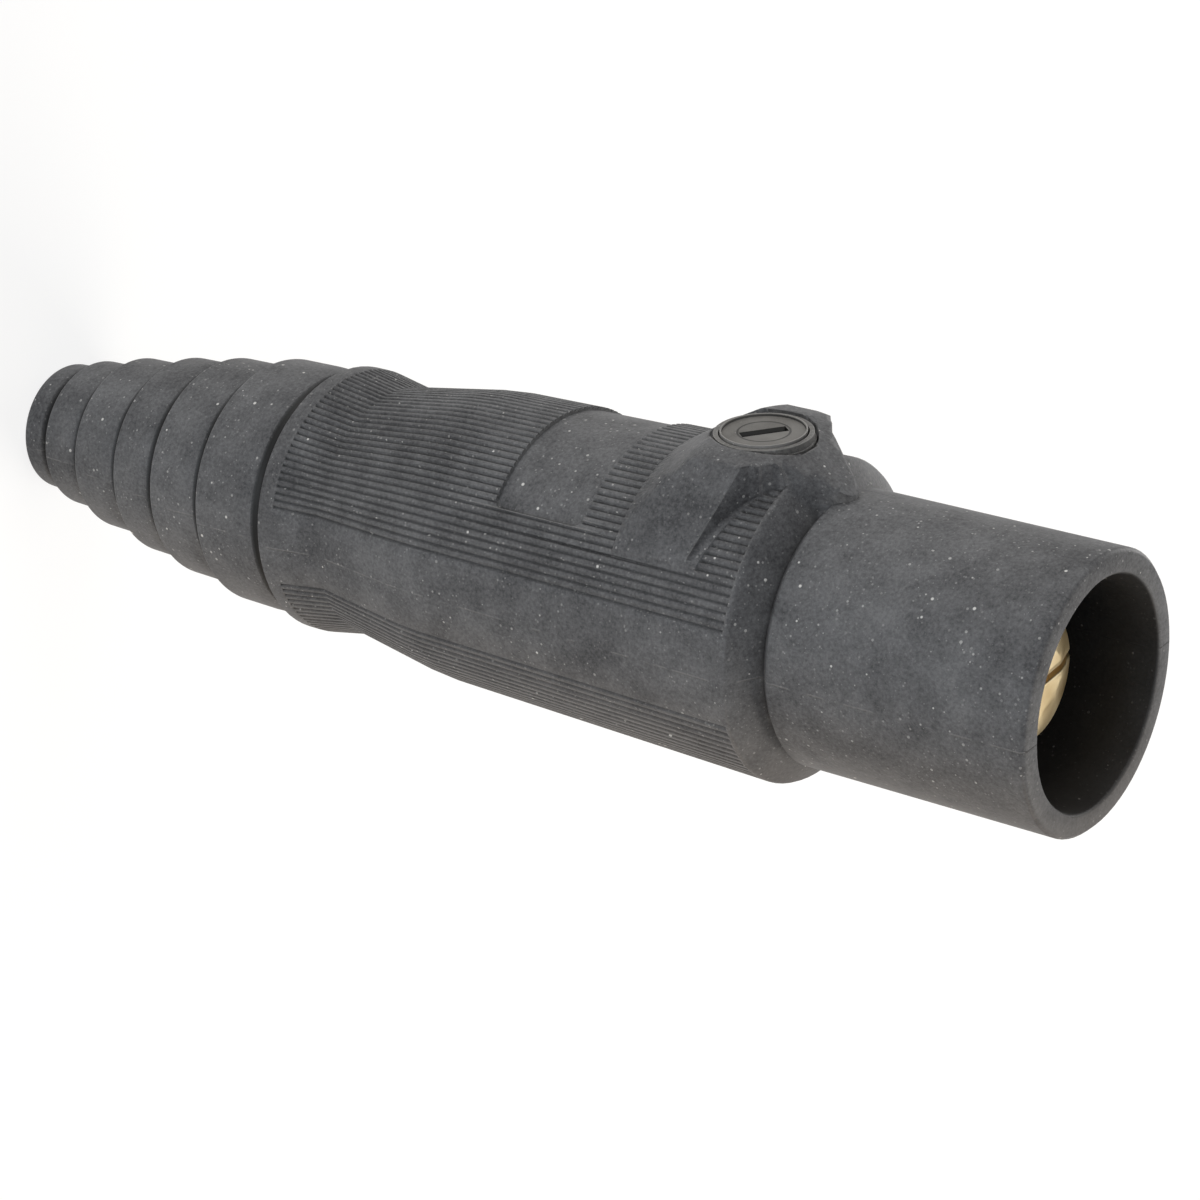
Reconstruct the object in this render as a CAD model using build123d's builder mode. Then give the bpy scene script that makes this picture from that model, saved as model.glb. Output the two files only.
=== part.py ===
"""Single-pole in-line power plug: a moulded rubber sleeve with a shrouded brass contact.

Frame: the plug stands on its cable end. Z runs up along the contact and out of the mouth,
the retaining screw faces -Y, and the origin is on the contact's axis at the floor of the
shroud. Lengths are in millimetres and angles in degrees.
"""

import os
from math import radians, tan

from build123d import *

os.makedirs("parts", exist_ok=True)

# Shroud around the contact pin
shroud_depth = 40.0
shroud_radius = 22.5
mouth_radius = 18.45
mouth_outer_edge = 0.8
mouth_inner_edge = 0.5
shoulder_edge = 1.4
shoulder_height = 2.2
shoulder_z = -6.4

# Front collar and ribbed grip
collar_z = -10.0
collar_lip = 0.6
collar_radius = 26.2
grip_radius = 26.5
grip_rear_radius = 24.95
grip_rear_z = -76.0
waist_radius = 21.75
waist_z = -96.4
rear_collar_radius = 23.3
rear_collar_z = -105.4
rear_collar_length = 3.2
grip_bend = 2.6
rear_collar_edge = 0.6

# Stepped cable grip: front ring first, each ring cut off at its groove to suit the cable
ring_lengths = (15.4, 12.8, 10.7, 11.7, 9.8, 7.0)
ring_radii = (21.8, 19.7, 17.85, 15.7, 13.4, 11.6)
ring_groove = 1.2
ring_groove_depth = 1.7
ring_edge = 0.7
tail_bore_radius = 7.0
tail_taper_radius = 14.2

# Grip ribs, one V groove between each pair
rib_pitch = 3.0
rib_zone = 73.5
rib_groove = 0.62
rib_depth = 0.55
rib_front_z = -10.9
rib_rear_z = -105.0

# Bare label recess on the screw side of the grip
label_front_z = -41.6
label_length = 17.6
label_half_angle = 50.0
label_depth = 0.65
label_corner = 1.6

# Boss over the retaining screw: a saddle across the grip with a beak onto the shroud
boss_rear_z = -34.3
boss_top = 31.2
boss_top_half_width = 16.6
boss_flank_half_width = 21.5
boss_flank_height = 15.3
boss_shoulder_edge = 3.0
boss_ramp_angle = 31.0
boss_front_slope = 21.0
boss_slope_start_z = -16.5
boss_slope_edge = 9.0
wall_z = -18.4
beak_root_z = -13.0
beak_root_half_width = 8.4
beak_point_z = -0.9
beak_root_edge = 5.0
beak_tip_edge = 2.5
boss_floor_height = 12.0

# Retaining screw, its sealing washer and their seat
screw_z = -19.7
screw_top = 30.7
head_radius = 6.9
head_height = 1.5
slot_length = 7.6
slot_width = 1.5
slot_depth = 1.4
slot_angle = 51.0
shank_radius = 5.0
thread_radius = 4.0
thread_engagement = 7.5
thread_fit = 0.05
washer_radius = 8.2
washer_thickness = 1.6
washer_fit = 0.1
seat_radius = 8.6
shank_clearance = 0.3
screw_end_gap = 1.5
screw_point = 0.8

# Turned brass contact
pin_radius = 10.2
pin_length = 29.3
pin_dome = 1.2
pin_flat_radius = 5.0
pin_edge = 0.5
split_width = 1.0
split_depth = 22.0
split_angle = 30.0
cam_width = 5.0
cam_depth = 2.2
cam_z = 8.0
cam_turn = 150.0
cam_entry_angle = 90.0
barrel_radius = 12.0
barrel_length = 88.0
barrel_fit = 0.1
barrel_edge = 0.8
flange_radius = 13.6
flange_z = -3.0
flange_length = 4.0
cable_bore_radius = 7.9
cable_bore_depth = 44.0
drill_point = 3.5
cable_bore_edge = 0.9
wire_cavity_gap = 1.0

# Cable set screws in the barrel
set_screw_radius = 5.0
set_screw_length = 7.6
set_screw_fit = 0.05
set_screw_inset = 1.0
set_screw_first_z = -56.0
set_screw_spacing = 16.0
set_screw_count = 2
hex_flats = 5.0
hex_depth = 4.0
set_screw_edge = 0.5

# How far cutting shapes reach past what they cut
cut_margin = 1.0

# Drawing planes: the side view has Z to the right and the screw's side up, the cross section
# looks back from the mouth, and the screw's view looks straight at the retaining screw
side_view = Plane((0, 0, 0), x_dir=(0, 0, 1), z_dir=(1, 0, 0))
cross_section = Plane((0, 0, 0), x_dir=(-1, 0, 0), z_dir=(0, 0, 1))
screw_view = Plane((0, 0, 0), x_dir=(0, 0, 1), z_dir=(0, -1, 0))
screw_side = Axis((0, 0, 0), (0, -1, 0))

# Places worked out from the sizes above
rear_collar_end_z = rear_collar_z - rear_collar_length
tail_z = rear_collar_end_z - sum(ring_lengths)
screw_axis = Axis((0, 0, screw_z), (0, -1, 0))
seat_height = screw_top - head_height - washer_thickness
thread_bottom = barrel_radius - thread_engagement
cavity_rear_z = -barrel_length - wire_cavity_gap
set_screw_places = [set_screw_first_z - k * set_screw_spacing for k in range(set_screw_count)]


def shroud_corners():
    """Corners of the shroud from the mouth's centre to the foot of its shoulder."""
    return [
        (shroud_depth, 0, 0),
        (shroud_depth, shroud_radius, mouth_outer_edge),
        (shoulder_z, shroud_radius, shoulder_edge),
        (shoulder_z, shroud_radius - shoulder_height, 0),
    ]


def grip_corners():
    """Corners of the grip from the front collar to the end of the rear collar."""
    return [
        (collar_z, collar_radius, 0),
        (collar_z - collar_lip, grip_radius, 0),
        (grip_rear_z, grip_rear_radius, grip_bend),
        (waist_z, waist_radius, 0),
        (rear_collar_z, rear_collar_radius, 0),
        (rear_collar_end_z, rear_collar_radius, rear_collar_edge),
    ]


def tail_corners():
    """Corners of the stepped cable grip, with a V cutting groove in front of each ring."""
    corners = []
    z = rear_collar_end_z
    for length, radius in zip(ring_lengths, ring_radii):
        corners += [
            (z, radius - ring_groove_depth, 0),
            (z - ring_groove, radius, 0),
            (z - length, radius, ring_edge),
        ]
        z -= length
    return corners + [(tail_z, 0, 0)]


def bore_corners():
    """Corners of the inside, from the mouth to the cable opening at the tail."""
    cavity = barrel_radius + barrel_fit
    recess = flange_radius + barrel_fit
    recess_front = flange_z + barrel_fit
    recess_rear = flange_z - flange_length - barrel_fit
    return [
        (shroud_depth, 0, 0),
        (shroud_depth, mouth_radius + mouth_inner_edge, 0),
        (shroud_depth - mouth_inner_edge, mouth_radius, 0),
        (0, mouth_radius, 0),
        (0, cavity, 0),
        (recess_front, cavity, 0),
        (recess_front, recess, 0),
        (recess_rear, recess, 0),
        (recess_rear, cavity, 0),
        (cavity_rear_z, cavity, 0),
        (cavity_rear_z, tail_taper_radius, 0),
        (rear_collar_end_z, tail_taper_radius, 0),
        (tail_z + ring_lengths[-1], tail_bore_radius, 0),
        (tail_z, tail_bore_radius, 0),
        (tail_z, 0, 0),
    ]


def cut_corners(corners):
    """Points of an outline whose corners are given as place, radius and the length cut off."""
    places = [Vector(z, radius) for z, radius, _ in corners]
    points = []
    for number, (place, (_, _, cut)) in enumerate(zip(places, corners)):
        if cut:
            before, after = places[number - 1], places[number + 1]
            points.append(place + (before - place).normalized() * cut)
            place += (after - place).normalized() * cut
        points.append(place)
    return points


def radius_at(z, points):
    """Radius of an outline at a place along it."""
    for front, rear in zip(points, points[1:]):
        if rear.X <= z <= front.X:
            return front.Y + (front.X - z) / (front.X - rear.X) * (rear.Y - front.Y)


grip_points = cut_corners(grip_corners()[:-1])

# Blade that cuts one V groove between two ribs, on the screw side of the grip
with BuildPart() as groove_blade:
    blade_height = rib_depth + cut_margin
    blade_half_width = rib_groove / 2 * blade_height / rib_depth
    bends = [point.X for point in grip_points if rib_rear_z < point.X < rib_front_z]
    for z in [rib_front_z, *bends, rib_rear_z]:
        with BuildSketch(cross_section.offset(z)):
            with Locations((0, radius_at(z, grip_points) - rib_depth)):
                Polygon((0, 0), (blade_half_width, blade_height),
                        (-blade_half_width, blade_height), align=None)
    loft(ruled=True)

# Block that sinks the label recess into the screw side of the grip
with BuildPart() as label_block:
    label_rear_z = label_front_z - label_length
    with BuildSketch(side_view.rotated((0, 0, -label_half_angle))):
        with BuildLine():
            Polyline((label_front_z, radius_at(label_front_z, grip_points) - label_depth),
                     (label_front_z, grip_radius + cut_margin),
                     (label_rear_z, grip_radius + cut_margin),
                     (label_rear_z, radius_at(label_rear_z, grip_points) - label_depth),
                     close=True)
        make_face()
    revolve(axis=Axis.Z, revolution_arc=2 * label_half_angle)
    corner_edges = label_block.edges().filter_by(GeomType.LINE).sort_by(SortBy.LENGTH)[:4]
    fillet(corner_edges, radius=label_corner)

# Boss: a block in the section of the saddle, trimmed by its plan, its side and its ramp
with BuildPart() as screw_boss:
    half = boss_flank_half_width
    with BuildSketch(cross_section.offset(boss_rear_z)):
        with BuildLine():
            section = FilletPolyline((-half, boss_floor_height), (-half, boss_flank_height),
                                     (-boss_top_half_width, boss_top),
                                     (boss_top_half_width, boss_top),
                                     (half, boss_flank_height), (half, boss_floor_height),
                                     radius=(0, boss_shoulder_edge, boss_shoulder_edge, 0))
            Line(section @ 1, section @ 0)
        make_face()
    extrude(amount=-boss_rear_z)
    with BuildSketch(screw_view.offset(boss_floor_height)):
        with BuildLine():
            plan = FilletPolyline((boss_rear_z, -half), (wall_z, -half),
                                  (beak_root_z, -beak_root_half_width),
                                  (beak_point_z, 0),
                                  (beak_root_z, beak_root_half_width),
                                  (wall_z, half), (boss_rear_z, half),
                                  radius=(0, beak_root_edge, beak_tip_edge, beak_root_edge, 0))
            Line(plan @ 1, plan @ 0)
        make_face()
    extrude(amount=boss_top, mode=Mode.INTERSECT)
    with BuildSketch(side_view):
        with BuildLine():
            beak_top = boss_top + boss_slope_start_z * tan(radians(boss_front_slope))
            side = FilletPolyline((boss_rear_z, boss_floor_height), (boss_rear_z, boss_top),
                                  (boss_slope_start_z, boss_top), (0, beak_top),
                                  (0, boss_floor_height),
                                  radius=(0, boss_slope_edge, 0))
            Line(side @ 1, side @ 0)
        make_face()
    extrude(amount=half + cut_margin, both=True, mode=Mode.INTERSECT)
    with BuildSketch(side_view):
        with BuildLine():
            ramp_foot = radius_at(boss_rear_z, grip_points)
            ramp_top = ramp_foot - boss_rear_z * tan(radians(boss_ramp_angle))
            Polyline((boss_rear_z, 0), (boss_rear_z, ramp_foot), (0, ramp_top), (0, 0),
                     close=True)
        make_face()
    revolve(axis=Axis.Z, mode=Mode.INTERSECT)

# Sleeve: one moulding with the shroud, the grip, the boss and the stepped cable grip
with BuildPart() as insulator_sleeve:
    with BuildSketch(side_view):
        with BuildLine():
            skin = Polyline(*cut_corners(shroud_corners() + grip_corners() + tail_corners()))
            Line(skin @ 1, skin @ 0)
        make_face()
    revolve(axis=Axis.Z)
    groove_count = int(2 * rib_zone / rib_pitch)
    first_groove = -(groove_count - 1) / 2 * rib_pitch
    with Locations(*[Location((0, 0, 0), (0, 0, middle + first_groove + k * rib_pitch))
                     for middle in (0, 180) for k in range(groove_count)]):
        add(groove_blade.part, mode=Mode.SUBTRACT)
    add(label_block.part, mode=Mode.SUBTRACT)
    add(screw_boss.part)
    with BuildSketch(side_view):
        with BuildLine():
            inside = Polyline(*cut_corners(bore_corners()))
            Line(inside @ 1, inside @ 0)
        make_face()
    revolve(axis=Axis.Z, mode=Mode.SUBTRACT)
    with BuildSketch(screw_view):
        with Locations((screw_z, 0)):
            Circle(shank_radius + shank_clearance)
    extrude(amount=boss_top, mode=Mode.SUBTRACT)
    with BuildSketch(screw_view.offset(seat_height)):
        with Locations((screw_z, 0)):
            Circle(seat_radius)
    extrude(amount=boss_top, mode=Mode.SUBTRACT)
insulator_sleeve.part.label = "insulator_sleeve"

# Contact: turned from one bar, split and grooved at the pin, bored for the cable
with BuildPart() as male_contact:
    with BuildSketch(side_view):
        with BuildLine():
            Polyline(
                (pin_length + pin_dome, 0),
                (pin_length + pin_dome, pin_flat_radius),
                (pin_length, pin_radius - pin_edge),
                (pin_length - pin_edge, pin_radius),
                (0, pin_radius),
                (0, barrel_radius),
                (flange_z, barrel_radius),
                (flange_z, flange_radius),
                (flange_z - flange_length, flange_radius),
                (flange_z - flange_length, barrel_radius),
                (-barrel_length + barrel_edge, barrel_radius),
                (-barrel_length, barrel_radius - barrel_edge),
                (-barrel_length, cable_bore_radius + cable_bore_edge),
                (-barrel_length + cable_bore_edge, cable_bore_radius),
                (-barrel_length + cable_bore_depth, cable_bore_radius),
                (-barrel_length + cable_bore_depth + drill_point, 0),
                close=True,
            )
        make_face()
    revolve(axis=Axis.Z)
    with BuildSketch(cross_section.offset(pin_length + pin_dome)):
        Rectangle(2 * (pin_radius + cut_margin), split_width, rotation=split_angle)
    extrude(amount=-split_depth, mode=Mode.SUBTRACT)
    entry = cross_section.offset(pin_length + pin_dome).rotated((0, 0, cam_entry_angle))
    with BuildSketch(entry):
        with Locations((0, pin_radius)):
            Rectangle(cam_width, 2 * cam_depth)
    extrude(amount=cam_z - pin_length - pin_dome, mode=Mode.SUBTRACT)
    with BuildSketch(side_view.rotated((0, 0, cam_entry_angle))):
        with Locations((cam_z + cam_width / 2, pin_radius)):
            Rectangle(cam_width, 2 * cam_depth)
    revolve(axis=Axis.Z, revolution_arc=cam_turn, mode=Mode.SUBTRACT)
    with BuildSketch(screw_view.offset(thread_bottom - screw_end_gap)):
        with Locations((screw_z, 0)):
            Circle(thread_radius + thread_fit)
    extrude(amount=flange_radius, mode=Mode.SUBTRACT)
    with BuildSketch(screw_view):
        with Locations(*[(z, 0) for z in set_screw_places]):
            Circle(set_screw_radius + set_screw_fit)
    extrude(amount=flange_radius, mode=Mode.SUBTRACT)
male_contact.part.label = "male_contact"

# Retaining screw: a slotted head, a plain shank and a short thread
with BuildPart() as retaining_screw:
    with BuildSketch(side_view):
        with BuildLine():
            head_floor = screw_top - head_height
            shank_end = barrel_radius + shank_clearance
            Polyline(
                (screw_z, screw_top),
                (screw_z + head_radius, screw_top),
                (screw_z + head_radius, head_floor),
                (screw_z + shank_radius, head_floor),
                (screw_z + shank_radius, shank_end),
                (screw_z + thread_radius, shank_end),
                (screw_z + thread_radius, thread_bottom + screw_point),
                (screw_z + thread_radius - screw_point, thread_bottom),
                (screw_z, thread_bottom),
                close=True,
            )
        make_face()
    revolve(axis=screw_axis)
    with BuildSketch(screw_view.offset(screw_top)):
        with Locations((screw_z, 0)):
            SlotOverall(slot_length, slot_width, rotation=slot_angle)
    extrude(amount=-slot_depth, mode=Mode.SUBTRACT)
retaining_screw.part.label = "retaining_screw"

# Sealing washer under the head of the retaining screw
with BuildPart() as sealing_washer:
    with BuildSketch(screw_view.offset(seat_height)):
        with Locations((screw_z, 0)):
            Circle(washer_radius)
            Circle(shank_radius + washer_fit, mode=Mode.SUBTRACT)
    extrude(amount=washer_thickness)
sealing_washer.part.label = "sealing_washer"

# Cable set screws: socket screws backed out flush with the barrel, as with no cable
set_screws = []
for number, z in enumerate(set_screw_places, start=1):
    with BuildPart() as set_screw:
        top = barrel_radius - set_screw_inset
        with BuildSketch(screw_view.offset(top)):
            with Locations((z, 0)):
                Circle(set_screw_radius)
        extrude(amount=-set_screw_length)
        chamfer(set_screw.edges().group_by(screw_side)[0], length=set_screw_edge)
        with BuildSketch(screw_view.offset(top)):
            with Locations((z, 0)):
                RegularPolygon(hex_flats / 2, 6, major_radius=False)
        extrude(amount=-hex_depth, mode=Mode.SUBTRACT)
    set_screw.part.label = f"cable_set_screw_{number}"
    set_screws.append(set_screw.part)

for part in (insulator_sleeve.part, male_contact.part, retaining_screw.part,
             sealing_washer.part, *set_screws):
    export_step(part, f"parts/{part.label}.step")
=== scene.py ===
# %% [markdown]
# # A single-pole power plug in black rubber
#
# This lesson dresses a finished CAD model of a heavy in-line power plug. The plug stands on its
# cable end: Z runs up along the brass contact and out of the mouth, and the retaining screw faces
# -Y. The CAD model sets the sizes. What is added here is the last of the form, such as the rounded
# rings and the trimmed boss, and the finish: dusty rubber, turned brass, and the light of a small
# product studio.

# %% Load the frame
import math

import bmesh
import bpy
from mathutils import Matrix, Vector


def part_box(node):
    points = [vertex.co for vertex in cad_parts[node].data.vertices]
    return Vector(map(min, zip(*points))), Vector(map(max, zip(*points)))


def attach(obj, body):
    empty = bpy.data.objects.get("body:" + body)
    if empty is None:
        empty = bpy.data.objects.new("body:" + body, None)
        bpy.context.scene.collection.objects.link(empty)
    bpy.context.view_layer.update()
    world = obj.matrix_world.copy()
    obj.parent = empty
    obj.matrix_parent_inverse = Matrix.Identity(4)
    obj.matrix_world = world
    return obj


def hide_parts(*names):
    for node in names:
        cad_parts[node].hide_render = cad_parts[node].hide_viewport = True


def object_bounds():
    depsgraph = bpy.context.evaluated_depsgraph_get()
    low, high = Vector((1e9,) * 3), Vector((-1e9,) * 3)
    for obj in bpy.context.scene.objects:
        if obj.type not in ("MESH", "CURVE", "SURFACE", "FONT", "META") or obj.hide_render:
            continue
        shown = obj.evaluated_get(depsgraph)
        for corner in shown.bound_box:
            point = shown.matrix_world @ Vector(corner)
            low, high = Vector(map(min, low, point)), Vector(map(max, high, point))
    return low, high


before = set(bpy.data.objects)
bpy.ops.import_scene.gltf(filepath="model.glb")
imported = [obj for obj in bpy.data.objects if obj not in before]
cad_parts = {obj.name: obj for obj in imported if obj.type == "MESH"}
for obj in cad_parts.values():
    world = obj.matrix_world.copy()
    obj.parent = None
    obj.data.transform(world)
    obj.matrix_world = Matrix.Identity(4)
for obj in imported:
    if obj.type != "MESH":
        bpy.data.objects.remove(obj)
cad_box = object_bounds()
mm = 0.001
foot_z = cad_box[0].z
mouth_z = cad_box[1].z
print("nodes:", sorted(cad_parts), "foot at", round(foot_z, 4), "mouth at", round(mouth_z, 4))

# %% [markdown]
# ## The camera
#
# The photograph was taken with the plug lying down, from a little above its side and from the
# mouth's end. Here the plug stands, so the same view needs a camera that looks down on it and is
# rolled on its side. Its place and its three axes were worked out from the ellipses of the mouth
# and the collar, and a long lens keeps the same gentle perspective.

# %% Place the camera
eye = Vector((0.3944, -0.2233, 0.2534))
eye_right = Vector((-0.59646, 0.04694, 0.80128))
eye_up = Vector((-0.36110, -0.90727, -0.21561))
lens_mm = 99.5
sensor_mm = 36.0

camera_data = bpy.data.cameras.new("studio_camera")
camera_data.lens = lens_mm
camera_data.sensor_width = sensor_mm
camera = bpy.data.objects.new("studio_camera", camera_data)
bpy.context.scene.collection.objects.link(camera)
turn = Matrix((eye_right, eye_up, eye_right.cross(eye_up))).transposed().to_4x4()
camera.matrix_world = Matrix.Translation(eye) @ turn
bpy.context.scene.camera = camera
print("camera looks along", [round(v, 3) for v in -eye_right.cross(eye_up)])

# %% [markdown]
# ## Writing materials as sums
#
# A finish is a handful of patterns that are scaled, added and clipped. Wiring Math nodes by hand
# hides that, so one small class wraps a socket: its operators add the Math nodes, and its one
# method `node` adds any other node and hands back the wrapped output.


# %% A socket that can be used in sums
class Wire:
    """One output socket in a material, used like a number."""

    def __init__(self, tree, socket=None):
        self.tree = tree
        self.socket = socket

    def plug_into(self, socket, value):
        if isinstance(value, Wire):
            self.tree.links.new(value.socket, socket)
        else:
            socket.default_value = value

    def node(self, kind, settings=None, inputs=None, output=0):
        made = self.tree.nodes.new(kind)
        for name, value in (settings or {}).items():
            if name == "stops":
                for element, (position, colour) in zip(made.color_ramp.elements, value):
                    element.position = position
                    element.color = (*colour, 1.0)
            else:
                setattr(made, name, value)
        for name, value in (inputs or {}).items():
            self.plug_into(made.inputs[name], value)
        return Wire(self.tree, made.outputs[output])

    def math(self, operation, *values, clamp=False):
        settings = {"operation": operation, "use_clamp": clamp}
        return self.node("ShaderNodeMath", settings, dict(enumerate(values)))

    def __add__(self, other):
        return self.math("ADD", self, other)

    def __sub__(self, other):
        return self.math("SUBTRACT", self, other)

    def __rsub__(self, other):
        return self.math("SUBTRACT", other, self)

    def __mul__(self, other):
        return self.math("MULTIPLY", self, other)

    __radd__ = __add__
    __rmul__ = __mul__

    def clipped(self):
        return self.math("ADD", self, 0.0, clamp=True)

    def below(self, edge, softness):
        """1 where the value is under the edge, fading to 0 over the softness."""
        return self.math("DIVIDE", edge - self, softness, clamp=True)

    def above(self, edge, softness):
        """1 where the value is over the edge, fading to 0 over the softness."""
        return self.math("DIVIDE", self - edge, softness, clamp=True)


print("a wire knows", [name for name in vars(Wire) if not name.startswith("_")])

# %% [markdown]
# Every finish starts the same way: a new material, its shader, and the Object coordinates. Those
# coordinates are real lengths on the plug, so a grain has the same size on every piece and rides
# along when a piece moves. A colour is laid over another through a mask, as a painter would.


# %% Start a material
def new_finish(name):
    """A material with its start wire, its object coordinates and its shader."""
    material = bpy.data.materials.new(name)
    material.use_nodes = True
    start = Wire(material.node_tree)
    place = start.node("ShaderNodeTexCoord", output="Object")
    shader = material.node_tree.nodes["Principled BSDF"]
    return material, start, place, shader


def axes_of(wire, place):
    """The x, y and z of a place, as three wires."""
    inputs = {"Vector": place}
    return [wire.node("ShaderNodeSeparateXYZ", None, inputs, output=number) for number in range(3)]


def length_of(wire, first, second):
    """The length of the arrow with these two parts."""
    return wire.math("SQRT", first * first + second * second)


def noise(wire, place, size, detail=2.0, roughness=0.5):
    """Cloudy noise whose blobs are about the given size across, in metres."""
    inputs = {"Vector": place, "Scale": 1 / size, "Detail": detail, "Roughness": roughness}
    return wire.node("ShaderNodeTexNoise", None, inputs)


def ramp(wire, factor, *stops):
    """A colour that follows the factor from stop to stop."""
    return wire.node("ShaderNodeValToRGB", {"stops": stops}, {"Fac": factor})


def painted(wire, base, *layers):
    """The base with each (mask, colour) laid over it in turn."""
    for mask, colour in layers:
        inputs = {0: mask, 6: base, 7: (*colour, 1.0)}
        base = wire.node("ShaderNodeMix", {"data_type": "RGBA"}, inputs, output=2)
    return base


def bumped(wire, height, depth, normal=None):
    """A normal that follows a height of 0 to 1, scaled to a depth in metres."""
    inputs = {"Height": height, "Distance": depth, "Strength": 1.0}
    if normal is not None:
        inputs["Normal"] = normal
    return wire.node("ShaderNodeBump", None, inputs)


print("helpers ready")

# %% [markdown]
# ## Sizes of the stepped cable grip
#
# The tail is a stack of rings, each a size smaller, with a cutting groove in front of each. The
# rubber's finish paints shade into these grooves, and the spun tail is drawn from the same sizes
# later on, so they come first.

# %% Sizes of the rings
tail_front_z = -108.6 * mm
ring_lengths = [length * mm for length in (15.4, 12.8, 10.7, 11.7, 9.8, 7.0)]
ring_radii = [radius * mm for radius in (21.8, 19.7, 17.85, 15.7, 13.4, 11.6)]
groove_length = 2.5 * mm
groove_floor = 2.25 * mm
groove_depth = 1.7 * mm
crest_round = 0.45 * mm
ring_swell = 0.16 * mm
bore_radius = 7.0 * mm
taper_radius = 14.2 * mm
joint_z = tail_front_z - 0.02 * mm
joint_radius = ring_radii[0] - groove_depth
groove_places = []
for number, radius in enumerate(ring_radii):
    groove_places.append((tail_front_z - sum(ring_lengths[:number]), radius))
print("the tail is", round(sum(ring_lengths) / mm, 1), "mm long")


# %% [markdown]
# ## Rubber
#
# The sleeve is one moulding in matt black rubber. Close up it isn't black: it is a dark grey with a
# fine grain, faint clouds where it was handled, and a scatter of white dust. A painted warm brown on
# the side away from the screw stands in for light bounced off a table. Where the two halves of the
# mould met, a thin seam runs down each side. Grain and clouds set the tone, and a mask lays each of
# the others over it. Ambient occlusion finds the grooves, and painted shade darkens them; the inside
# of the mouth gets painted shade too. A Bevel node finds the edges, which wear pale and carry a
# painted highlight. A second Bevel node softens the ribs by a tenth of a millimetre, which is finer
# than the mesh needs to go.


# %% Dust, painted shade in grooves, and worn and highlighted edges
def dust(wire, place, cell, share, size):
    """White specks: one in some cells of a Voronoi pattern, each of its own size."""
    settings = {"feature": "F1"}
    inputs = {"Vector": place, "Scale": 1 / cell, "Randomness": 1.0}
    distance = wire.node("ShaderNodeTexVoronoi", settings, inputs, output="Distance")
    colour = wire.node("ShaderNodeTexVoronoi", settings, inputs, output="Color")
    red = wire.node("ShaderNodeSeparateColor", None, {"Color": colour}, output=0)
    green = wire.node("ShaderNodeSeparateColor", None, {"Color": colour}, output=1)
    chosen = red.below(share, 0.01)
    reach = size / cell * (0.35 + green * green)
    return chosen * distance.below(reach, 0.05)


def open_to_air(wire, reach):
    """1 on open faces, 0 deep in narrow grooves, found by ambient occlusion and used for painted
    shade.
    """
    settings = {"samples": 6, "only_local": True}
    occlusion = wire.node("ShaderNodeAmbientOcclusion", settings, {"Distance": reach}, output="AO")
    return ((occlusion - 0.28) * 1.75).clipped()


def edge_wear_and_highlight(wire, reach):
    """0 on flat faces, rising on edges, where a softened normal leaves the true one."""
    soft_edges = wire.node("ShaderNodeBevel", {"samples": 4}, {"Radius": reach})
    normal = wire.node("ShaderNodeNewGeometry", output="Normal")
    inputs = {0: soft_edges, 1: normal}
    agreement = wire.node("ShaderNodeVectorMath", {"operation": "DOT_PRODUCT"}, inputs, output="Value")
    return ((1 - agreement) * 6.0).clipped()


def ring_groove_shade(wire, z, from_axis):
    """1 in the cutting grooves between the rings of the cable grip, where shade is painted."""
    bands = []
    for top_z, radius in groove_places:
        band = z.above(top_z - groove_length, 0.1 * mm) * z.below(top_z + 0.05 * mm, 0.05 * mm)
        bands.append(band * from_axis.below(radius - 0.1 * mm, 0.15 * mm))
    return sum(bands[1:], bands[0]).clipped()


print("dust, grooves and edges ready")


# %% Rubber with grain, dust, the sleeve's own marks, and painted light and shade
rubber_roughness = 0.56
mouth_wall = 19.0 * mm
dust_white = (0.50, 0.49, 0.47)
wear_and_highlight_grey = (0.30, 0.29, 0.28)
seam_grey = (0.22, 0.215, 0.21)
warm_bounce_brown = (0.080, 0.067, 0.056)
mouth_shade_black = (0.004, 0.0038, 0.0035)


def grey(value):
    """A grey of the given brightness."""
    return (value, value, value)


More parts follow.
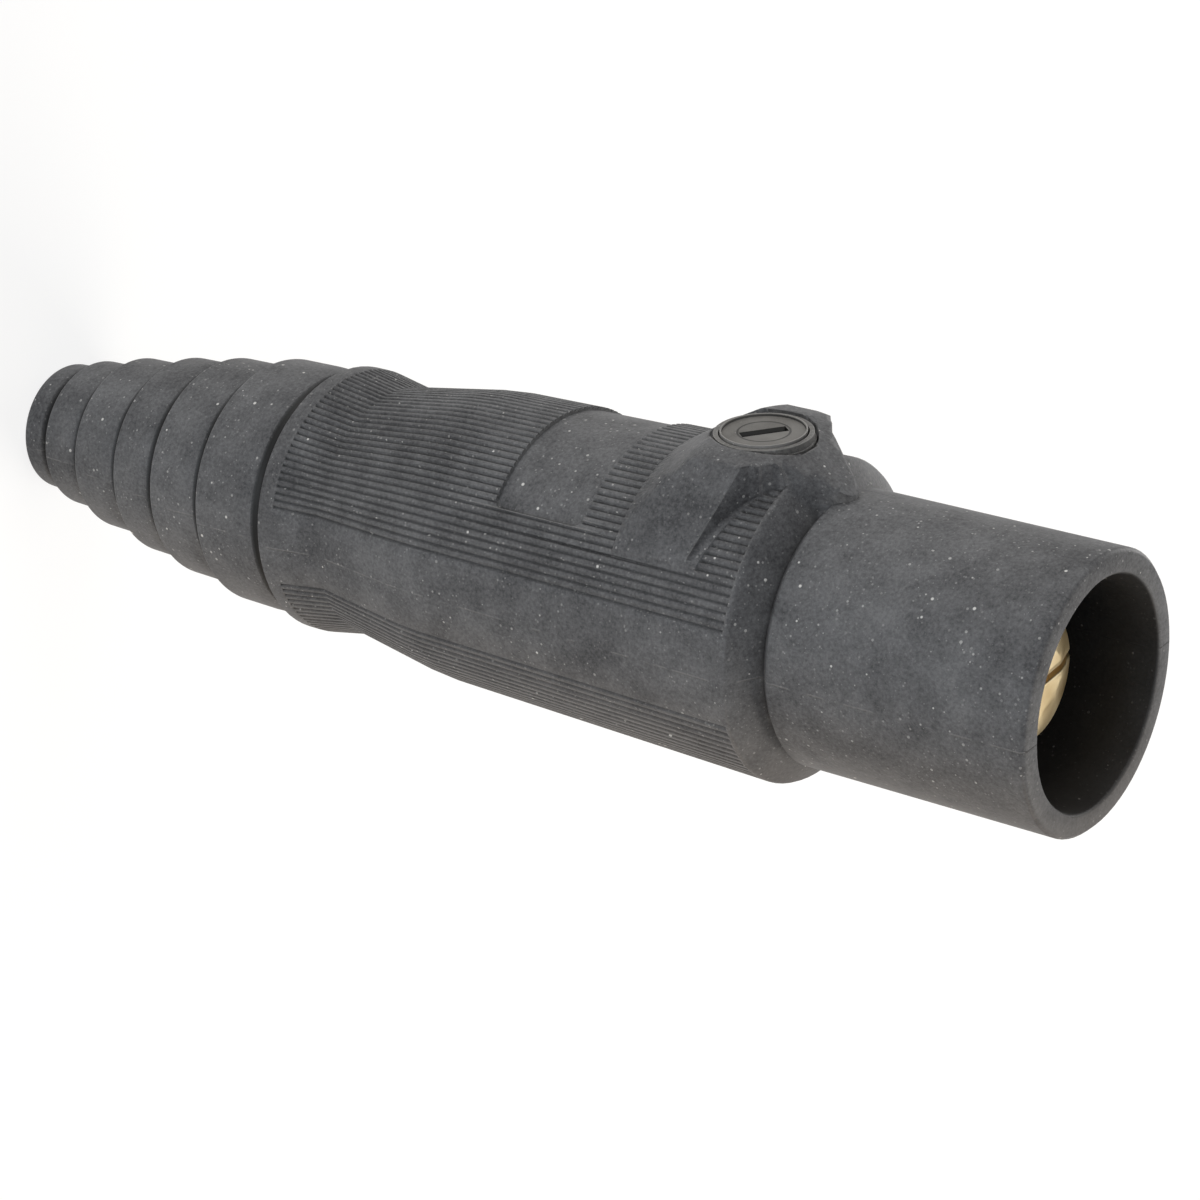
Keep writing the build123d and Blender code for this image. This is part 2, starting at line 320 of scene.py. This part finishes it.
def rubber_finish(name, dark, light, seam_and_shade):
    """Matt moulded rubber. seam_and_shade is 1 for the sleeve's seam, rim mark and painted shade in
    mouth and grooves, else 0.
    """
    material, wire, place, shader = new_finish(name)
    x, y, z = axes_of(wire, place)
    from_axis = length_of(wire, x, y)
    clouds = noise(wire, place, 28 * mm, detail=3.0)
    patches = noise(wire, place, 5 * mm, detail=4.0)
    grain = noise(wire, place, 0.6 * mm, detail=3.0, roughness=0.75)
    tone = 0.5 + (clouds - 0.5) * 0.9 + (patches - 0.5) * 0.7 + (grain - 0.5) * 1.2
    # Painted warm light: a brown on the side away from the screw, standing in for light bounced off a
    # table.
    painted_warm_bounce = (y.above(2 * mm, 20 * mm) * (0.35 + patches * 0.9)).clipped()
    drifts = noise(wire, place, 9 * mm, detail=3.0).above(0.34, 0.3)
    fine_specks = dust(wire, place, 0.70 * mm, 0.6, 0.17 * mm)
    middle_specks = dust(wire, place, 1.3 * mm, 0.7, 0.22 * mm)
    coarse_specks = dust(wire, place, 2.4 * mm, 0.55, 0.27 * mm)
    specks = (fine_specks * 0.15 + middle_specks * 0.38) * (0.4 + drifts) + coarse_specks * 0.95
    specks = specks.clipped()
    near_seam = wire.math("ABSOLUTE", y).below(0.17 * mm, 0.06 * mm)
    seam = near_seam * noise(wire, place, 3.5 * mm).above(0.44, 0.1) * seam_and_shade
    on_rim = z.above(mouth_z - 0.25 * mm, 0.05 * mm) * near_seam * seam_and_shade
    # Painted shade: the inside of the mouth is darkened, and the dust there is thinned.
    painted_mouth_shade = from_axis.below(mouth_wall, 0.4 * mm) * z.above(-3 * mm, 1 * mm) * seam_and_shade
    openness = open_to_air(wire, 0.8 * mm)
    base = painted(
        wire,
        ramp(wire, tone, (0.15, dark), (0.85, light)),
        (painted_warm_bounce * 0.55, warm_bounce_brown),
        (seam * 0.3, seam_grey),
        (on_rim * 0.85, grey(0.010)),
        (painted_mouth_shade * 0.8, mouth_shade_black),
        (specks * (1 - painted_mouth_shade * 0.7), dust_white),
        # Pale edges: part wear, part painted highlight along lit crests and rib tops.
        (edge_wear_and_highlight(wire, 0.32 * mm) * openness * 0.5, wear_and_highlight_grey),
        # Painted shade: narrow grooves darken, and a wider reach darkens corners and recesses.
        ((1 - openness) * 0.8, grey(0.008)),
        ((1 - open_to_air(wire, 7 * mm)) * 0.75, grey(0.012)),
        # Painted shade in the cutting grooves between the rings.
        (ring_groove_shade(wire, z, from_axis) * seam_and_shade, grey(0.005)),
    )
    height = grain * 0.5 + specks + seam * 2.0
    soft_edges = wire.node("ShaderNodeBevel", {"samples": 4}, {"Radius": 0.12 * mm})
    wire.plug_into(shader.inputs["Base Color"], base)
    wire.plug_into(shader.inputs["Roughness"], rubber_roughness + (clouds - 0.5) * 0.16 + specks * 0.2)
    wire.plug_into(shader.inputs["Normal"], bumped(wire, height, 0.05 * mm, soft_edges))
    shader.inputs["Specular IOR Level"].default_value = 0.24
    return material


sleeve_rubber = rubber_finish("sleeve_rubber", (0.028, 0.028, 0.030), (0.118, 0.118, 0.121), seam_and_shade=1.0)
washer_rubber = rubber_finish("washer_rubber", (0.070, 0.068, 0.065), (0.165, 0.160, 0.152), seam_and_shade=0.0)
print("rubber finishes:", sleeve_rubber.name, washer_rubber.name)

# %% [markdown]
# ## Brass
#
# The contact was turned on a lathe, so its end and its sides carry fine rings about its own axis.
# The distance from the axis plus the height, put through a sine, gives those rings, and a little
# noise breaks them up. Brass that has lain in stock is dull: its roughness is high, and faint
# clouds darken it.


# %% Turned brass
def brass_finish(name):
    """Dull turned brass, with rings about the Z axis."""
    material, wire, place, shader = new_finish(name)
    x, y, z = axes_of(wire, place)
    ring_pitch = 0.22 * mm
    wobble = noise(wire, place, 1.5 * mm) * 0.25 * mm
    along = length_of(wire, x, y) + z + wobble
    rings = wire.math("SINE", along * (2 * math.pi / ring_pitch)) * 0.5 + 0.5
    clouds = noise(wire, place, 6 * mm, detail=4.0)
    tone = clouds + (rings - 0.5) * 0.12
    base = ramp(wire, tone, (0.25, (0.80, 0.60, 0.31)), (0.75, (1.0, 0.85, 0.56)))
    wire.plug_into(shader.inputs["Base Color"], base)
    wire.plug_into(shader.inputs["Roughness"], 0.36 + (clouds - 0.5) * 0.2)
    wire.plug_into(shader.inputs["Normal"], bumped(wire, rings, 0.006 * mm))
    shader.inputs["Metallic"].default_value = 1.0
    return material


contact_brass = brass_finish("contact_brass")
print("brass finish:", contact_brass.name)

# %% [markdown]
# ## Screw plastic and blackened steel
#
# The retaining screw is moulded plastic, a little smoother and paler than the rubber, with a round
# line about its slot where the mould's ejector stood. Painted shade darkens its slot and the foot of
# its rim, and a painted highlight lightens the outer edge of its head, so these are masks on the
# distance from the screw's axis. The cable set screws inside are blackened steel, with a faint
# brown where the blacking is thin.


# %% Plastic of the retaining screw
screw_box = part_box("retaining_screw")
screw_z = (screw_box[0].z + screw_box[1].z) / 2
head_top = screw_box[0].y
recess_radius = 6.62 * mm
recess_depth = 0.4 * mm
screw_face_y = head_top + recess_depth
pad_radius = 4.15 * mm


def plastic_finish(name, dark, light):
    """Moulded plastic, with a round line about the screw's axis."""
    material, wire, place, shader = new_finish(name)
    x, y, z = axes_of(wire, place)
    from_axis = length_of(wire, x, z - screw_z)
    line = wire.math("ABSOLUTE", from_axis - pad_radius).below(0.20 * mm, 0.08 * mm)
    clouds = noise(wire, place, 4 * mm, detail=4.0)
    grain = noise(wire, place, 0.3 * mm, detail=2.0, roughness=0.7)
    tone = 0.5 + (clouds - 0.5) * 0.9 + (grain - 0.5) * 0.7
    # Painted shade: the slot and the foot of the recess rim are darkened.
    slot_shade = y.above(screw_face_y + 0.03 * mm, 0.06 * mm)
    slot_shade = slot_shade * from_axis.below(recess_radius - 0.42 * mm, 0.1 * mm)
    rim_foot_shade = from_axis.above(recess_radius - 0.06 * mm, 0.03 * mm)
    rim_foot_shade = rim_foot_shade * from_axis.below(recess_radius + 0.08 * mm, 0.02 * mm)
    rim_foot_shade = rim_foot_shade * y.above(head_top + 0.06 * mm, 0.06 * mm)
    base = painted(
        wire,
        ramp(wire, tone, (0.1, dark), (0.9, light)),
        (line * 0.8, (0.020, 0.019, 0.018)),
        (slot_shade * 0.97, grey(0.002)),
        (rim_foot_shade * 0.8, grey(0.006)),
        # Painted highlight along the outer edge of the screw's head.
        (from_axis.above(recess_radius + 0.06 * mm, 0.05 * mm) * 0.5, wear_and_highlight_grey),
        (dust(wire, place, 0.8 * mm, 0.5, 0.12 * mm) * 0.6, (0.42, 0.41, 0.39)),
    )
    height = grain * 0.1 + (1 - line)
    soft_edges = wire.node("ShaderNodeBevel", {"samples": 4}, {"Radius": 0.18 * mm})
    wire.plug_into(shader.inputs["Base Color"], base)
    wire.plug_into(shader.inputs["Roughness"], 0.46 + (grain - 0.5) * 0.2)
    wire.plug_into(shader.inputs["Normal"], bumped(wire, height, 0.08 * mm, soft_edges))
    shader.inputs["Specular IOR Level"].default_value = 0.12
    return material


screw_plastic = plastic_finish("screw_plastic", (0.074, 0.070, 0.065), (0.160, 0.154, 0.144))
print("plastic finish:", screw_plastic.name, "screw axis at z", round(screw_z, 4))


# %% Blackened steel of the set screws
def steel_finish(name):
    """Blackened steel, worn to brown in patches."""
    material, wire, place, shader = new_finish(name)
    clouds = noise(wire, place, 3 * mm, detail=4.0)
    scratches = noise(wire, place, 0.5 * mm, detail=3.0, roughness=0.7)
    tone = clouds + (scratches - 0.5) * 0.4
    base = ramp(wire, tone, (0.3, (0.030, 0.030, 0.034)), (0.8, (0.11, 0.085, 0.065)))
    wire.plug_into(shader.inputs["Base Color"], base)
    wire.plug_into(shader.inputs["Roughness"], 0.38 + (scratches - 0.5) * 0.3)
    wire.plug_into(shader.inputs["Normal"], bumped(wire, scratches, 0.01 * mm))
    shader.inputs["Metallic"].default_value = 1.0
    return material


set_screw_steel = steel_finish("set_screw_steel")
print("steel finish:", set_screw_steel.name)

# %% [markdown]
# ## Dress the CAD nodes
#
# Each CAD node gets its finish, the hidden ones too, so that every solid has the look of its real
# material wherever it is shown.

# %% Give every CAD node its finish
finishes = {
    "insulator_sleeve": sleeve_rubber,
    "male_contact": contact_brass,
    "retaining_screw": screw_plastic,
    "sealing_washer": washer_rubber,
    "cable_set_screw_1": set_screw_steel,
    "cable_set_screw_2": set_screw_steel,
}
for node_name, finish in finishes.items():
    node_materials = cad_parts[node_name].data.materials
    node_materials.clear()
    node_materials.append(finish)
print("finishes given:", {name: finish.name for name, finish in finishes.items()})

# %% [markdown]
# ## Smooth copies of the CAD nodes
#
# A CAD mesh arrives as loose triangles, so every facet would show. A copy whose doubles are merged
# can be shaded smooth instead: edges sharper than a set angle stay crisp, and weighted normals
# keep the big faces flat and turn a small chamfer into a soft round. A copy can also be cut off at
# a plane and capped, and two copies can share one mesh.


# %% Copy, cut, join and shade
merge_reach = 0.001 * mm


def piece_from(shape, name, finish, body, sharp_degrees):
    """An object made from a bmesh, finished, smooth and riding on its body."""
    mesh = bpy.data.meshes.new(name)
    shape.to_mesh(mesh)
    shape.free()
    mesh.shade_smooth()
    mesh.set_sharp_from_angle(angle=math.radians(sharp_degrees))
    mesh.materials.append(finish)
    piece = bpy.data.objects.new(name, mesh)
    bpy.context.scene.collection.objects.link(piece)
    weighted = piece.modifiers.new("weighted_normals", "WEIGHTED_NORMAL")
    weighted.keep_sharp = True
    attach(piece, body)
    return piece


def copied(node):
    """A bmesh copy of a CAD node, with its loose triangles joined up."""
    shape = bmesh.new()
    shape.from_mesh(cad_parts[node].data)
    bmesh.ops.remove_doubles(shape, verts=shape.verts, dist=merge_reach)
    return shape


def cut_off(shape, z, side):
    """What lies above a height (side 1) or below it (side -1), with its cut end capped."""
    everything = shape.verts[:] + shape.edges[:] + shape.faces[:]
    bmesh.ops.bisect_plane(shape, geom=everything, dist=0.0001 * mm, plane_co=(0, 0, z),
                           plane_no=(0, 0, -side), clear_outer=True)
    rims = [edge for edge in shape.edges if len(edge.link_faces) == 1]
    bmesh.ops.triangle_fill(shape, edges=rims, use_beauty=True)
    bmesh.ops.recalc_face_normals(shape, faces=shape.faces)
    return shape


def joined(first, second):
    """Both shapes in the first one. The second is used up."""
    mesh = bpy.data.meshes.new("second")
    second.to_mesh(mesh)
    second.free()
    first.from_mesh(mesh)
    bpy.data.meshes.remove(mesh)
    return first


def closed(shape):
    """True if every edge of the shape has two faces."""
    return all(len(edge.link_faces) == 2 for edge in shape.edges)


print("copy helpers ready")

# %% [markdown]
# ## The stepped cable grip
#
# A fitter cuts the tail off at the groove that suits the cable. On the real moulding each ring
# swells a little and its rear edge is rounded. That is a lathe's work: one profile from a few
# vertices, spun about the axis, with its crests bevelled afterwards while the edges are still
# clean circles.

# %% Draw the profile and spin it
def lathe(profile, steps):
    """A closed profile of (radius, z) points, spun about the Z axis."""
    shape = bmesh.new()
    vertices = [shape.verts.new((radius, 0, z)) for radius, z in profile]
    edges = [shape.edges.new(pair) for pair in zip(vertices, vertices[1:] + vertices[:1])]
    bmesh.ops.spin(shape, geom=vertices + edges, cent=(0, 0, 0), axis=(0, 0, 1),
                   angle=2 * math.pi, steps=steps, use_merge=True)
    bmesh.ops.remove_doubles(shape, verts=shape.verts, dist=merge_reach)
    bmesh.ops.recalc_face_normals(shape, faces=shape.faces)
    return shape


tail_profile = [(joint_radius, joint_z)]
crest_places = []
ring_z = tail_front_z
for number, (length, radius) in enumerate(zip(ring_lengths, ring_radii)):
    if number:
        tail_profile.append((radius - groove_depth, ring_z))
    tail_profile.append((radius - groove_depth, ring_z - groove_floor))
    tail_profile.append((radius, ring_z - groove_length))
    tail_profile.append((radius + ring_swell, ring_z - length / 2))
    tail_profile.append((radius, ring_z - length))
    crest_places.append((radius, ring_z - length))
    ring_z -= length
tail_profile += [(bore_radius, ring_z), (bore_radius, ring_z + ring_lengths[-1]),
                 (taper_radius, joint_z)]
tail = lathe(tail_profile, steps=144)


def on_a_crest(vertex):
    """True if the vertex lies on the rear edge of a ring."""
    return any(abs(vertex.co.z - z) < 0.01 * mm and abs(vertex.co.xy.length - radius) < 0.01 * mm
               for radius, z in crest_places)


crests = [edge for edge in tail.edges if all(on_a_crest(vertex) for vertex in edge.verts)]
bmesh.ops.bevel(tail, geom=crests, offset=crest_round, offset_type="OFFSET", segments=5,
                profile=0.5, affect="EDGES", material=-1)
print("tail:", len(tail.faces), "faces, closed:", closed(tail))

# %% [markdown]
# ## Trimming the boss
#
# Over the retaining screw stands a boss with sloping flanks and a beak that runs out onto the
# shroud. The CAD boss is a little full at its shoulders. Three kinds of knife trim it: one planes
# its crowned top down to the beak's point, one planes each flank and rounds the shoulder, and one
# cuts the front wall on each side of the beak. A Boolean modifier takes them away from the copy,
# which keeps the ribs and the screw's seat as they are.


# %% Three kinds of knife
def blade_object(name, shape):
    """An object made from a closed bmesh."""
    bmesh.ops.recalc_face_normals(shape, faces=shape.faces)
    mesh = bpy.data.meshes.new(name)
    shape.to_mesh(mesh)
    shape.free()
    blade = bpy.data.objects.new(name, mesh)
    bpy.context.scene.collection.objects.link(blade)
    return blade


def trimmed(shape, blades):
    """The shape with every blade taken away. The blades are used up."""
    mesh = bpy.data.meshes.new("work")
    shape.to_mesh(mesh)
    work = bpy.data.objects.new("work", mesh)
    bpy.context.scene.collection.objects.link(work)
    for blade in blades:
        cut = work.modifiers.new(blade.name, "BOOLEAN")
        cut.operation = "DIFFERENCE"
        cut.solver = "EXACT"
        cut.object = blade
    bpy.context.view_layer.update()
    result = work.evaluated_get(bpy.context.evaluated_depsgraph_get())
    shape.clear()
    shape.from_mesh(result.data)
    for used in [work, *blades]:
        bpy.data.objects.remove(used)
    bmesh.ops.remove_doubles(shape, verts=shape.verts, dist=merge_reach)
    return shape


def prism(corners, travel):
    """A flat outline, pushed out along the travel."""
    shape = bmesh.new()
    face = shape.faces.new([shape.verts.new(corner) for corner in corners])
    extruded = bmesh.ops.extrude_face_region(shape, geom=[face])["geom"]
    moved = [item for item in extruded if isinstance(item, bmesh.types.BMVert)]
    bmesh.ops.translate(shape, vec=travel, verts=moved)
    bmesh.ops.recalc_face_normals(shape, faces=shape.faces)
    return shape


def flank_knife(name, outline, start, end):
    """A prism along Z: the outline's corners are (x, y)."""
    return blade_object(name, prism([(x, y, start) for x, y in outline], (0, 0, end - start)))


def wall_knife(name, plan, low, top, spared_radius):
    """A prism along Y over a plan of (x, z) corners, which spares the grip's cylinder."""
    shape = prism([(x, -low, z) for x, z in plan], (0, low - top, 0))
    grip = bmesh.new()
    bmesh.ops.create_cone(grip, cap_ends=True, segments=180, radius1=spared_radius,
                          radius2=spared_radius, depth=80 * mm)
    return blade_object(name, trimmed(shape, [blade_object("grip_cylinder", grip)]))


def crown_knife(name, heights, half_width, steps, crown_radius, top):
    """A block whose underside follows (z, height) points and is crowned across, like a saddle."""
    shape = bmesh.new()
    across = [half_width * (2 * number / steps - 1) for number in range(steps + 1)]
    under = [[shape.verts.new((x, -(height - x * x / (2 * crown_radius)), z)) for x in across]
             for z, height in heights]
    floor_faces = [shape.faces.new((row[k], row[k + 1], after[k + 1], after[k]))
                   for row, after in zip(under, under[1:]) for k in range(steps)]
    extruded = bmesh.ops.extrude_face_region(shape, geom=floor_faces)["geom"]
    for item in extruded:
        if isinstance(item, bmesh.types.BMVert):
            item.co.y = -top
    return blade_object(name, shape)


print("knives ready")

# %% Where the knives cut
knife_top = 40 * mm
crown_radius = 55 * mm
crown_half_width = 25 * mm
crown_heights = [(-36, 31.23), (-18, 31.23), (-16.5, 31.0), (-14.6, 30.55), (-12.7, 29.85),
                 (-11, 28.9), (-9, 27.5), (-5, 24.9), (-2.8, 23.3), (-0.85, 22.52)]
flank_foot = (21.4 * mm, 15.6 * mm)
flank_top = (11.6 * mm, 31.25 * mm)
shoulder_round = 2.2 * mm
flank_reach = 8 * mm
boss_rear_z = -34.6 * mm
beak_z = -0.5 * mm
wall_low = 13 * mm
spared_radius = 26.55 * mm
wall_corners = [(9.2, -12.7), (11.6, -15.0), (23.5, -21.9), (23.5, -12), (9.2, -12)]


def rounded_corner(before, corner, after, reach, steps):
    """Points of a soft corner: a parabola that starts and ends at a reach from the corner."""
    before, corner, after = Vector(before), Vector(corner), Vector(after)
    start = corner + (before - corner).normalized() * reach
    end = corner + (after - corner).normalized() * reach
    shares = [number / steps for number in range(steps + 1)]
    return [tuple(start * (1 - t) ** 2 + corner * (2 * t * (1 - t)) + end * t ** 2) for t in shares]


inner_edge = (flank_top[0] - 6 * mm, flank_top[1])
shoulder = rounded_corner(inner_edge, flank_top, flank_foot, shoulder_round, steps=8)
outer_x = flank_foot[0] + flank_reach
flank_section = [inner_edge, *shoulder, flank_foot, (outer_x, flank_foot[1]), (outer_x, knife_top),
                 (inner_edge[0], knife_top)]
heights = [(z * mm, height * mm) for z, height in crown_heights]
walls, flanks = [], []
for name, side in [("near", 1), ("far", -1)]:
    plan = [(side * x * mm, z * mm) for x, z in wall_corners]
    walls.append(wall_knife(name + "_wall_knife", plan, wall_low, knife_top, spared_radius))
    outline = [(side * x, -height) for x, height in flank_section]
    flanks.append(flank_knife(name + "_knife", outline, boss_rear_z, beak_z))
crown = crown_knife("crown_knife", heights, crown_half_width, 20, crown_radius, knife_top)
knives = [crown, *flanks, *walls]
print("knives:", [blade.name for blade in knives])

# %% [markdown]
# ## The sleeve
#
# The grip with its ribs and its label recess is right in the CAD model. So the sleeve is a smooth
# copy of the node with its boss trimmed and its tail cut off square and capped, joined by the
# spun tail.

# %% Trim and cut the copy, and join the tail
sleeve = trimmed(copied("insulator_sleeve"), knives)
print("trimmed sleeve closed:", closed(sleeve))
sleeve = cut_off(sleeve, joint_z, 1)
print("front part closed:", closed(sleeve))
sleeve = joined(sleeve, tail)
sleeve_piece = piece_from(sleeve, "rubber_sleeve", sleeve_rubber, "plug", 50)
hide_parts("insulator_sleeve")
print("sleeve:", len(sleeve_piece.data.polygons), "faces")

# %% [markdown]
# ## Contact, screw, washer and set screws
#
# Three of these pieces get a little more than smooth shading. The split across the pin's end runs
# almost level with the mould seam, so the front of the contact is a turned copy. The screw's face
# lies in a shallow recess, and its slot is wide. The washer has a lip that stands up round the
# screw's head. Round cutters and rings come ready made about Z, and one matrix lays that axis
# along the screw's.

# %% Turn the pin's front
pin_joint_z = 1.5 * mm
pin_turn = Matrix.Rotation(math.radians(-27), 3, "Z")
pin = cut_off(copied("male_contact"), pin_joint_z, 1)
bmesh.ops.rotate(pin, cent=(0, 0, 0), matrix=pin_turn, verts=pin.verts)
print("pin closed:", closed(pin))
contact = joined(cut_off(copied("male_contact"), pin_joint_z, -1), pin)

# %% Recess and slot the screw
screw_axis = Matrix.Translation((0, 0, screw_z)) @ Matrix.Rotation(math.radians(90), 4, "X")
cutter_height = 4 * mm
recess_place = Matrix.Translation((0, 0, cutter_height / 2 - screw_face_y))
recess = bmesh.new()
bmesh.ops.create_cone(recess, cap_ends=True, segments=96, radius1=recess_radius,
                      radius2=recess_radius, depth=cutter_height, matrix=screw_axis @ recess_place)
slot_length, slot_width, slot_turn = 7.6 * mm, 2.1 * mm, math.radians(141)
slot_depth = 1.4 * mm
slot_lift = Matrix.Translation((0, 0, cutter_height / 2 - slot_depth - head_top))
slot_place = slot_lift @ Matrix.Rotation(slot_turn, 4, "Z")
slot_size = Matrix.Diagonal((slot_length, slot_width, cutter_height, 1))
slot = bmesh.new()
bmesh.ops.create_cube(slot, size=1, matrix=screw_axis @ slot_place @ slot_size)
screw_knives = [blade_object("recess_knife", recess), blade_object("slot_knife", slot)]
screw = trimmed(copied("retaining_screw"), screw_knives)
print("recessed screw closed:", closed(screw))

# %% Give the washer its lip
lip_inner, lip_outer = 7.15 * mm, 7.95 * mm
washer_face = -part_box("sealing_washer")[0].y
lip_foot, lip_top = washer_face - 0.1 * mm, washer_face + 1.1 * mm
lip = lathe([(lip_inner, lip_foot), (lip_outer, lip_foot), (lip_outer, lip_top),
             (lip_inner, lip_top)], steps=96)
bmesh.ops.transform(lip, matrix=screw_axis, verts=lip.verts)
bmesh.ops.recalc_face_normals(lip, faces=lip.faces)
washer = joined(copied("sealing_washer"), lip)
print("washer closed:", closed(washer))

# %% Dress the small pieces
small_pieces = {
    "brass_contact": (contact, "male_contact", "plug", "contact_brass", 50),
    "slotted_screw": (screw, "retaining_screw", "screw", "screw_nylon", 40),
    "rubber_washer": (washer, "sealing_washer", "washer", "washer_rubber", 40),
}
for number in (1, 2):
    node_name = f"cable_set_screw_{number}"
    small_pieces[f"set_screw_{number}"] = (copied(node_name), node_name, "plug", "set_screw_steel", 40)
for name, (shape, node_name, body, slot, sharp_degrees) in small_pieces.items():
    piece = piece_from(shape, name, finishes[node_name], body, sharp_degrees)
    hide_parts(node_name)
    print(name, len(piece.data.polygons), "faces")

# %% [markdown]
# ## The studio
#
# The floor is a wide pale sheet, and the background is pure white. A Light Path node tells who is
# looking: the camera and reflections see white, and the rest sees a plain lit floor, so the white
# adds no light. A share of the lit floor stays in what the camera sees, and that keeps the soft
# shadow under the plug.

# %% White floor
floor_share = 0.30
floor_radius = 4.0


def seen_directly(wire):
    """1 for rays from the camera and for reflected or transmitted ones."""
    light_path = "ShaderNodeLightPath"
    camera_ray = wire.node(light_path, output="Is Camera Ray")
    glossy_ray = wire.node(light_path, output="Is Glossy Ray")
    clear_ray = wire.node(light_path, output="Is Transmission Ray")
    return camera_ray.math("MAXIMUM", camera_ray.math("MAXIMUM", camera_ray, glossy_ray), clear_ray)


floor_material = bpy.data.materials.new("pale_floor")
floor_material.use_nodes = True
floor_tree = floor_material.node_tree
floor_tree.nodes.clear()
floor_wire = Wire(floor_tree)
lit = floor_wire.node("ShaderNodeBsdfDiffuse", None, {"Color": (0.80, 0.79, 0.77, 1.0)})
white = floor_wire.node("ShaderNodeEmission", None, {"Color": (1, 1, 1, 1), "Strength": 1.12})
looked_at = seen_directly(floor_wire) * (1 - floor_share)
floor_shader = floor_wire.node("ShaderNodeMixShader", None, {0: looked_at, 1: lit, 2: white})
floor_out = floor_tree.nodes.new("ShaderNodeOutputMaterial")
floor_tree.links.new(floor_shader.socket, floor_out.inputs["Surface"])
floor_shape = bmesh.new()
bmesh.ops.create_circle(floor_shape, cap_ends=True, radius=floor_radius, segments=64,
                        matrix=Matrix.Translation((0, 0, foot_z)))
floor_mesh = bpy.data.meshes.new("studio_floor")
floor_shape.to_mesh(floor_mesh)
floor_shape.free()
floor_mesh.materials.append(floor_material)
floor = bpy.data.objects.new("studio_floor", floor_mesh)
bpy.context.scene.collection.objects.link(floor)
print("floor at z", round(foot_z, 4))

# %% White world with dim light
world = bpy.data.worlds.new("studio_world")
bpy.context.scene.world = world
world.use_nodes = True
world.node_tree.nodes.clear()
world_wire = Wire(world.node_tree)
dim_sky = {"Color": (0.95, 0.97, 1.0, 1.0), "Strength": 0.35}
dim = world_wire.node("ShaderNodeBackground", None, dim_sky)
bright = world_wire.node("ShaderNodeBackground", None, {"Color": (1, 1, 1, 1), "Strength": 1.0})
inputs = {0: seen_directly(world_wire), 1: dim, 2: bright}
world_shader = world_wire.node("ShaderNodeMixShader", None, inputs)
world_out = world.node_tree.nodes.new("ShaderNodeOutputWorld")
world.node_tree.links.new(world_shader.socket, world_out.inputs["Surface"])
bpy.context.scene.view_settings.view_transform = "Standard"
print("world ready")

# %% [markdown]
# Five soft boxes light the plug. The key stands low at its side and lays the cool sheen along the
# grip. One faces the screw, one opposite is warm, like light off a table, one is overhead, and a
# weak one lights the side that the camera doesn't see.


# %% Soft boxes
def soft_box(name, direction, distance, size, power, colour):
    """A square area light that faces the middle of the plug."""
    target = Vector((0, 0, (foot_z + mouth_z) / 2))
    light = bpy.data.lights.new(name, "AREA")
    light.shape = "SQUARE"
    light.size = size
    light.energy = power
    light.color = colour
    lamp = bpy.data.objects.new(name, light)
    bpy.context.scene.collection.objects.link(lamp)
    away = Vector(direction).normalized()
    lamp.location = target + away * distance
    lamp.rotation_euler = away.to_track_quat("Z", "Y").to_euler()


soft_boxes = {
    "key_light": ((0.95, -0.30, 0.02), 0.9, 0.5, 5.6, (0.88, 0.94, 1.0)),
    "screw_side_light": ((-0.25, -1.0, 0.12), 1.0, 0.6, 5.6, (1.0, 0.985, 0.96)),
    "table_light": ((0.45, 1.0, 0.10), 1.0, 0.6, 3.6, (1.0, 0.80, 0.58)),
    "overhead_light": ((-0.30, 0.60, 0.95), 1.0, 0.5, 6.0, (1.0, 0.95, 0.88)),
    "far_light": ((-1.0, -0.1, 0.15), 1.0, 0.6, 3.0, (1.0, 0.98, 0.96)),
}
for name, values in soft_boxes.items():
    soft_box(name, *values)
print("lights:", [item.name for item in bpy.data.lights])

# %% [markdown]
# ## Finish
